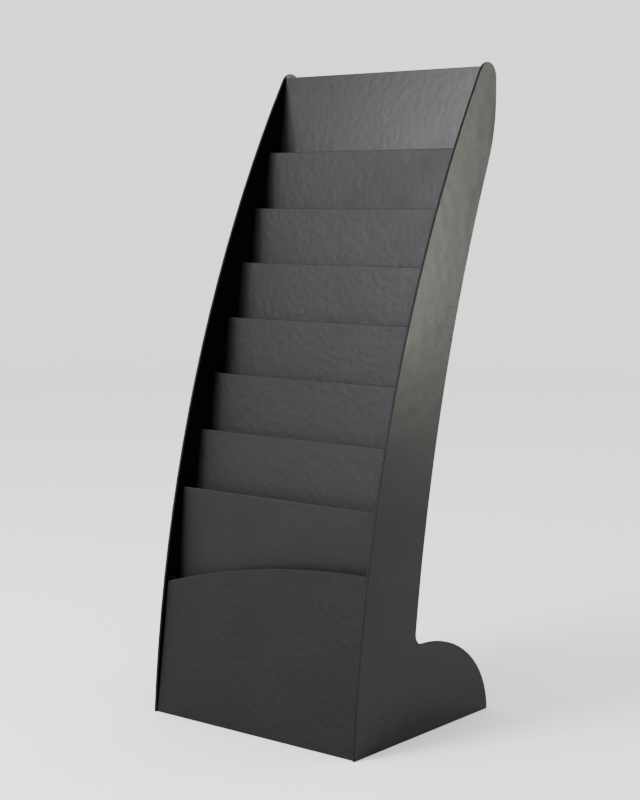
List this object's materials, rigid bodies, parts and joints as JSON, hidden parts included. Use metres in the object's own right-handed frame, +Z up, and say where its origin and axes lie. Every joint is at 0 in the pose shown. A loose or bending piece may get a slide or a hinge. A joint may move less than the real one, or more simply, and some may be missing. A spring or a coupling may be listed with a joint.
{
  "type": "floor display rack",
  "caption": "Floor-standing literature rack with stepped leaning pockets held between two curved side panels, closed by a header panel on top and an arched front panel below",
  "frame": {"origin": "on the floor, at the centre of the footprint's box: half way across the width and half way from the foremost to the rearmost point of the rack", "axes": "+X across the rack to the right of someone who faces its pockets, +Y from the front to the back, +Z up"},
  "size_m": [0.392, 0.3523, 0.999],
  "materials": {
    "panel_plastic": "black sheet plastic with a fine leather grain and a satin sheen",
    "tray_plastic": "black sheet plastic with a fine leather grain and a satin sheen, smooth at bends and edges",
    "strip_plastic": "black sawn plastic strip, dull and slightly scored",
    "black_zinc": "black zinc plated steel"
  },
  "bodies": {
    "root": {"side_panel_left": "panel_plastic", "side_panel_right": "panel_plastic", "header_panel": "tray_plastic", "pocket_tray_1": "tray_plastic", "pocket_tray_2": "tray_plastic", "pocket_tray_3": "tray_plastic", "pocket_tray_4": "tray_plastic", "pocket_tray_5": "tray_plastic", "pocket_tray_6": "tray_plastic", "pocket_tray_7": "tray_plastic", "bottom_tray": "tray_plastic", "front_panel": "tray_plastic", "base_shelf": "tray_plastic", "heel_rail": "tray_plastic", "column_brace": "tray_plastic", "stringer_left": "strip_plastic", "stringer_right": "strip_plastic", "header_cleat_left": "strip_plastic", "header_cleat_right": "strip_plastic", "front_cleat_left": "strip_plastic", "front_cleat_right": "strip_plastic", "base_cleat_left": "strip_plastic", "base_cleat_right": "strip_plastic", "heel_block_left": "strip_plastic", "heel_block_right": "strip_plastic", "tray_1_screw_left": "black_zinc", "tray_1_screw_right": "black_zinc", "tray_2_screw_left": "black_zinc", "tray_2_screw_right": "black_zinc", "tray_3_screw_left": "black_zinc", "tray_3_screw_right": "black_zinc", "tray_4_screw_left": "black_zinc", "tray_4_screw_right": "black_zinc", "tray_5_screw_left": "black_zinc", "tray_5_screw_right": "black_zinc", "tray_6_screw_left": "black_zinc", "tray_6_screw_right": "black_zinc", "tray_7_screw_left": "black_zinc", "tray_7_screw_right": "black_zinc", "bottom_tray_screw_left": "black_zinc", "bottom_tray_screw_right": "black_zinc", "brace_upper_screw_left": "black_zinc", "brace_upper_screw_right": "black_zinc", "brace_lower_screw_left": "black_zinc", "brace_lower_screw_right": "black_zinc", "rail_upper_screw_left": "black_zinc", "rail_upper_screw_right": "black_zinc", "rail_lower_screw_left": "black_zinc", "rail_lower_screw_right": "black_zinc", "shelf_front_screw_left": "black_zinc", "shelf_front_screw_right": "black_zinc", "shelf_rear_screw_left": "black_zinc", "shelf_rear_screw_right": "black_zinc"}
  },
  "joints": []
}
